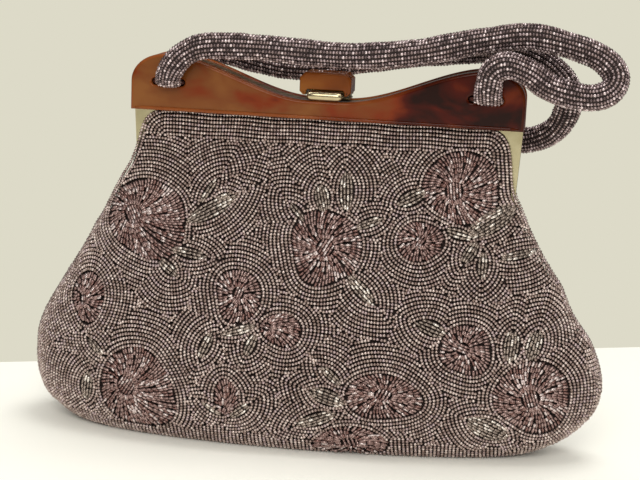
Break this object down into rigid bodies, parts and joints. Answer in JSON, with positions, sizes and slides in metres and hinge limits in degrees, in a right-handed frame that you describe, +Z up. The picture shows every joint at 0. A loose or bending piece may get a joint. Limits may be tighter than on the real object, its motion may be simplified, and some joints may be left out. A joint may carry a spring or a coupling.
{
  "type": "beaded evening handbag",
  "caption": "Soft pouch of beaded cloth on a hinged metal frame with contoured plastic panels, a lift clasp and two beaded rope handles.",
  "frame": {"origin": "middle of the flat bottom of the pouch, on the plane where the two halves of the frame meet", "axes": "+Z up, +X along the frame to the right as seen from the front, -Y towards the front half of the frame, which is the half that opens"},
  "size_m": [0.2482, 0.064, 0.187],
  "materials": {
    "beadwork": "glass seed beads and bugle beads sewn in close rows on dark cloth",
    "beaded_rope": "glass seed beads in lengthwise rows round a soft core",
    "lining": "satin",
    "frame_metal": "pale gold plated pressed sheet, satin",
    "clasp_gold": "polished gold plate",
    "tortoise_plastic": "polished mottled dark red and amber"
  },
  "bodies": {
    "pouch": {"back_cloth": "beadwork", "front_cloth": "beadwork", "back_lining": "lining", "front_lining": "lining", "rear_frame": "frame_metal", "rear_panel": "tortoise_plastic", "rear_handle": "beaded_rope", "rear_handle_end_left": "beaded_rope", "rear_handle_end_right": "beaded_rope", "rear_panel_rivet_left": "frame_metal", "rear_panel_rivet_right": "frame_metal", "hinge_rivet_left": "frame_metal", "hinge_rivet_right": "frame_metal", "clasp_base": "frame_metal", "clasp_pin": "frame_metal"},
    "front_half": {"front_frame": "frame_metal", "front_panel": "tortoise_plastic", "front_handle": "beaded_rope", "front_handle_end_left": "beaded_rope", "front_handle_end_right": "beaded_rope", "front_panel_rivet_left": "frame_metal", "front_panel_rivet_right": "frame_metal", "clasp_catch": "frame_metal", "front_cloth_top": "beadwork", "front_lining_top": "lining"},
    "clasp": {"clasp_lever": "clasp_gold", "clasp_block": "tortoise_plastic"}
  },
  "joints": [
    {"name": "frame_open", "type": "hinge", "parent": "pouch", "child": "front_half", "pos_m": [0, 0, 0.1], "axis": [1, 0, 0], "range_deg": [0, 80]},
    {"name": "clasp_lift", "type": "hinge", "parent": "pouch", "child": "clasp", "pos_m": [0, 0.0076, 0.1532], "axis": [-1, 0, 0], "range_deg": [0, 65]}
  ]
}
